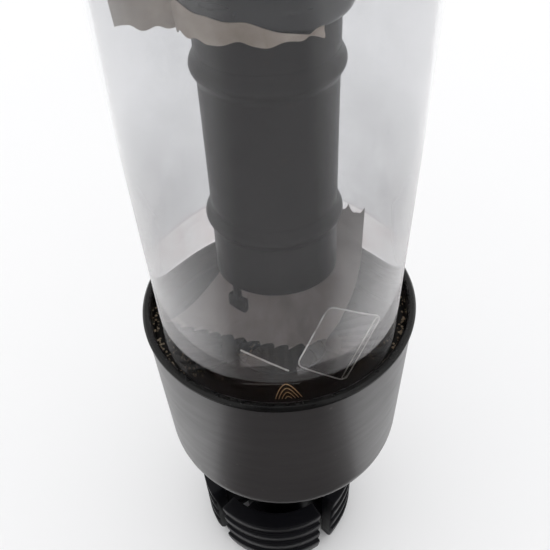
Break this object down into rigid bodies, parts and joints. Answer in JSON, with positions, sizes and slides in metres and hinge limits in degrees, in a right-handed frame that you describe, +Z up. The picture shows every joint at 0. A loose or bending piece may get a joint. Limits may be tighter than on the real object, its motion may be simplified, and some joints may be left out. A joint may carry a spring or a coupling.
{
  "type": "protein skimmer",
  "caption": "Slim aquarium protein skimmer: clear column in a dark collar on a barbed split spigot, ringed riser inside, foam cup with lid on top.",
  "frame": {"origin": "on the tube's axis, on the face the split spigot stands on", "axes": "+Z up along the tube, -Y the front, +Y the side of the air inlet"},
  "size_m": [0.0904, 0.0946, 0.3552],
  "materials": {
    "dark_plastic": "satin moulded",
    "gloss_black_plastic": "gloss moulded",
    "riser_plastic": "satin extruded",
    "knob_plastic": "satin moulded",
    "black_rubber": "matte",
    "clear_acrylic": "polished",
    "clear_tube": "polished",
    "clear_sheet": "polished",
    "frosted_film": "frosted",
    "brown_film": "wrinkled film",
    "limewood": "raw"
  },
  "bodies": {
    "base": {"base_collar": "dark_plastic", "tube_gasket": "black_rubber", "split_spigot": "gloss_black_plastic", "spigot_seal": "black_rubber", "spigot_lock_nut": "gloss_black_plastic"},
    "column": {"body_tube": "clear_acrylic", "liner_sleeve": "frosted_film", "strainer_disc": "dark_plastic", "diffuser_holder": "dark_plastic", "limewood_diffuser": "limewood", "air_tube": "clear_tube", "air_tube_clips": "riser_plastic", "lower_riser_pipe": "riser_plastic", "riser_coupling": "gloss_black_plastic", "upper_riser_pipe": "riser_plastic", "riser_spider": "dark_plastic", "lower_tape": "brown_film", "upper_tape": "brown_film", "clear_clip": "clear_sheet", "head_collar": "dark_plastic", "ring_retainer": "dark_plastic", "neck_seal": "black_rubber", "air_elbow": "gloss_black_plastic", "air_valve_body": "gloss_black_plastic", "hose_tail": "gloss_black_plastic"},
    "gate": {"outlet_ring": "gloss_black_plastic"},
    "air_knob": {"air_valve_knob": "knob_plastic"},
    "cup": {"foam_neck": "clear_acrylic", "collection_cup": "clear_acrylic", "drain_nozzle": "clear_tube"},
    "drain_stopper": {"drain_cap": "black_rubber"},
    "lid": {"cup_lid": "dark_plastic", "lid_knob": "gloss_black_plastic"}
  },
  "joints": [
    {"name": "column_lift", "type": "slide", "parent": "base", "child": "column", "axis": [0, 0, 1], "range_m": [0, 0.04]},
    {"name": "gate_turn", "type": "hinge", "parent": "column", "child": "gate", "pos_m": [0, 0, 0.276], "axis": [0, 0, 1], "range_deg": [0, 45]},
    {"name": "air_knob_turn", "type": "hinge", "parent": "column", "child": "air_knob", "pos_m": [0, 0.037, 0.277], "axis": [0, 0, 1], "range_deg": [0, 270]},
    {"name": "cup_lift", "type": "slide", "parent": "column", "child": "cup", "axis": [0, 0, 1], "range_m": [0, 0.05]},
    {"name": "lid_lift", "type": "slide", "parent": "cup", "child": "lid", "axis": [0, 0, 1], "range_m": [0, 0.03]},
    {"name": "drain_cap_pull", "type": "slide", "parent": "cup", "child": "drain_stopper", "axis": [-1, 0, 0], "range_m": [0, 0.014]}
  ]
}
